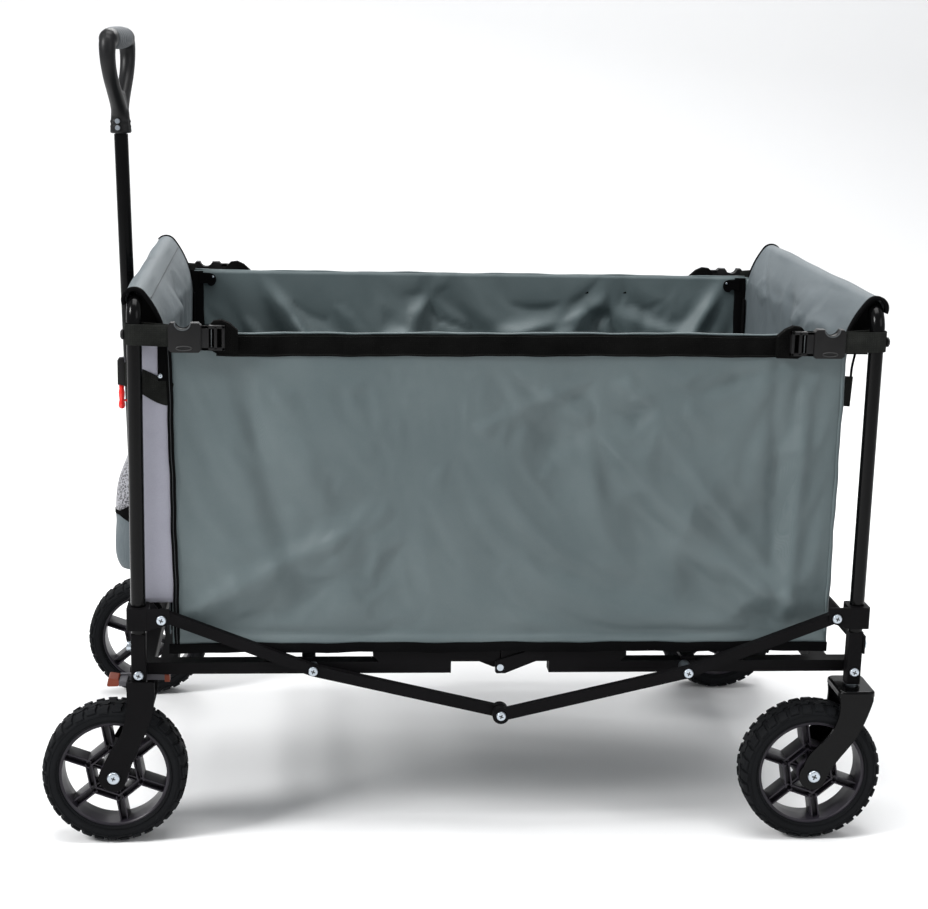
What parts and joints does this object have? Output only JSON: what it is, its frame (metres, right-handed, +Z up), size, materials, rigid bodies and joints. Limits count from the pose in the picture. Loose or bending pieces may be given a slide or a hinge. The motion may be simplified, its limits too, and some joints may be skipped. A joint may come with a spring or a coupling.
{
  "type": "folding utility wagon",
  "caption": "Folding utility wagon: fabric basket between two tube hoops, scissor linkage below, swivel casters at one end, brakes and a telescoping pull handle at the other.",
  "frame": {"origin": "on the ground plane, midway between the front and rear axles and midway across the width", "axes": "X along the length with the pull handle at -X, Y across the width with the near side in the picture at -Y, Z up"},
  "size_m": [0.992, 0.59, 0.9309],
  "materials": {
    "tyre_rubber": "matte",
    "rim_plastic": "satin",
    "gloss_black_steel": "gloss",
    "matte_black_steel": "satin",
    "zinc_steel": "satin",
    "grey_cloth": "matte",
    "black_webbing": "matte",
    "black_plastic": "satin",
    "grey_rubber": "matte",
    "red_plastic": "gloss",
    "red_pedal": "satin",
    "pedal_grey": "satin"
  },
  "bodies": {
    "rear_frame": {"rear_hoop": "gloss_black_steel", "rear_posts": "matte_black_steel", "rear_post_bolts": "zinc_steel", "kingpins": "zinc_steel", "rear_end_panel": "grey_cloth", "side_panels": "grey_cloth", "floor_cloth": "grey_cloth", "top_webbing": "black_webbing", "rear_strap_loops": "black_webbing", "rear_buckles": "black_plastic"},
    "rear_rail_frame": {"rear_rails": "matte_black_steel", "rear_floor_bars": "matte_black_steel", "rear_hinge_plates": "matte_black_steel", "rear_scissor_pins": "zinc_steel"},
    "front_rail_frame": {"front_rails": "matte_black_steel", "front_floor_bars": "matte_black_steel", "front_hinge_plates": "matte_black_steel", "front_scissor_pins": "zinc_steel", "hinge_pins": "zinc_steel"},
    "front_frame": {"front_hoop": "gloss_black_steel", "front_posts": "matte_black_steel", "front_post_bolts": "zinc_steel", "front_forks": "matte_black_steel", "front_axles": "zinc_steel", "front_cross_tube": "matte_black_steel", "handle_clevis": "matte_black_steel", "front_end_panel": "grey_cloth", "drink_pockets": "grey_cloth", "front_strap_loops": "black_webbing", "front_buckles": "black_plastic", "clip_keeper": "black_plastic", "red_clip": "red_plastic"},
    "rear_bracket_pair": {"rear_brackets": "matte_black_steel", "rear_bracket_screws": "zinc_steel"},
    "front_bracket_pair": {"front_brackets": "matte_black_steel", "front_bracket_screws": "zinc_steel"},
    "rear_link_pair": {"rear_links": "matte_black_steel", "low_screws": "zinc_steel"},
    "front_link_pair": {"front_links": "matte_black_steel"},
    "near_caster": {"near_swivel_yoke": "gloss_black_steel", "rear_near_axle": "zinc_steel"},
    "far_caster": {"far_swivel_yoke": "gloss_black_steel", "rear_far_axle": "zinc_steel"},
    "rear_near_wheel": {"rear_near_tyre": "tyre_rubber", "rear_near_rim": "rim_plastic"},
    "rear_far_wheel": {"rear_far_tyre": "tyre_rubber", "rear_far_rim": "rim_plastic"},
    "front_near_wheel": {"front_near_tyre": "tyre_rubber", "front_near_rim": "rim_plastic"},
    "front_far_wheel": {"front_far_tyre": "tyre_rubber", "front_far_rim": "rim_plastic"},
    "near_brake": {"near_brake_lever": "pedal_grey", "near_brake_pads": "red_pedal"},
    "far_brake": {"far_brake_lever": "pedal_grey", "far_brake_pads": "red_pedal"},
    "handle_tube": {"handle_outer_tube": "gloss_black_steel"},
    "handle_slider": {"handle_inner_tube": "gloss_black_steel", "handle_grip": "black_plastic", "handle_grip_cover": "grey_rubber", "handle_collar_bolts": "zinc_steel"}
  },
  "joints": [
    {"name": "fold", "type": "hinge", "parent": "rear_frame", "child": "rear_rail_frame", "pos_m": [0.458, 0, 0.207], "axis": [0, 1, 0], "range_deg": [0, 70], "deforming": ["side_panels", "floor_cloth", "top_webbing"]},
    {"name": "centre_fold", "type": "hinge", "parent": "rear_rail_frame", "child": "front_rail_frame", "pos_m": [0.038, 0, 0.207], "axis": [0, 1, 0], "range_deg": [-140, 0]},
    {"name": "front_post_fold", "type": "hinge", "parent": "front_rail_frame", "child": "front_frame", "pos_m": [-0.382, 0, 0.207], "axis": [0, 1, 0], "range_deg": [0, 70]},
    {"name": "rear_link_turn", "type": "hinge", "parent": "rear_rail_frame", "child": "rear_link_pair", "pos_m": [0.258, 0, 0.208], "axis": [0, 1, 0], "range_deg": [-127.1, 0]},
    {"name": "front_link_turn", "type": "hinge", "parent": "front_rail_frame", "child": "front_link_pair", "pos_m": [-0.182, 0, 0.208], "axis": [0, 1, 0], "range_deg": [0, 127.1]},
    {"name": "rear_bracket_slide", "type": "slide", "parent": "rear_frame", "child": "rear_bracket_pair", "axis": [0, 0, 1], "range_m": [0, 0.302]},
    {"name": "front_bracket_slide", "type": "slide", "parent": "front_frame", "child": "front_bracket_pair", "axis": [0, 0, 1], "range_m": [0, 0.302]},
    {"name": "near_swivel", "type": "hinge", "parent": "rear_frame", "child": "near_caster", "pos_m": [0.458, -0.262, 0.186], "axis": [0, 0, 1], "continuous": true},
    {"name": "far_swivel", "type": "hinge", "parent": "rear_frame", "child": "far_caster", "pos_m": [0.458, 0.262, 0.186], "axis": [0, 0, 1], "continuous": true},
    {"name": "rear_near_spin", "type": "hinge", "parent": "near_caster", "child": "rear_near_wheel", "pos_m": [0.412, -0.262, 0.084], "axis": [0, 1, 0], "continuous": true},
    {"name": "rear_far_spin", "type": "hinge", "parent": "far_caster", "child": "rear_far_wheel", "pos_m": [0.412, 0.262, 0.084], "axis": [0, 1, 0], "continuous": true},
    {"name": "front_near_spin", "type": "hinge", "parent": "front_frame", "child": "front_near_wheel", "pos_m": [-0.412, -0.248, 0.084], "axis": [0, 1, 0], "continuous": true},
    {"name": "front_far_spin", "type": "hinge", "parent": "front_frame", "child": "front_far_wheel", "pos_m": [-0.412, 0.248, 0.084], "axis": [0, 1, 0], "continuous": true},
    {"name": "near_brake_press", "type": "hinge", "parent": "front_frame", "child": "near_brake", "pos_m": [-0.382, -0.2343, 0.194], "axis": [0, -1, 0], "range_deg": [0, 6]},
    {"name": "far_brake_press", "type": "hinge", "parent": "front_frame", "child": "far_brake", "pos_m": [-0.382, 0.2343, 0.194], "axis": [0, -1, 0], "range_deg": [0, 6]},
    {"name": "handle_swing", "type": "hinge", "parent": "front_frame", "child": "handle_tube", "pos_m": [-0.402, 0, 0.215], "axis": [0, -1, 0], "range_deg": [0, 100]},
    {"name": "handle_extend", "type": "slide", "parent": "handle_tube", "child": "handle_slider", "axis": [-0.0257, 0, 0.9997], "range_m": [0, 0.3]}
  ],
  "couplings": [
    {"joint": "centre_fold", "follows": "fold", "ratio": -2},
    {"joint": "front_post_fold", "follows": "fold", "ratio": 1},
    {"joint": "rear_link_turn", "follows": "fold", "ratio": -1.815},
    {"joint": "front_link_turn", "follows": "fold", "ratio": 1.815},
    {"joint": "rear_bracket_slide", "follows": "fold", "m_per_rad": 0.247},
    {"joint": "front_bracket_slide", "follows": "fold", "m_per_rad": 0.247}
  ]
}
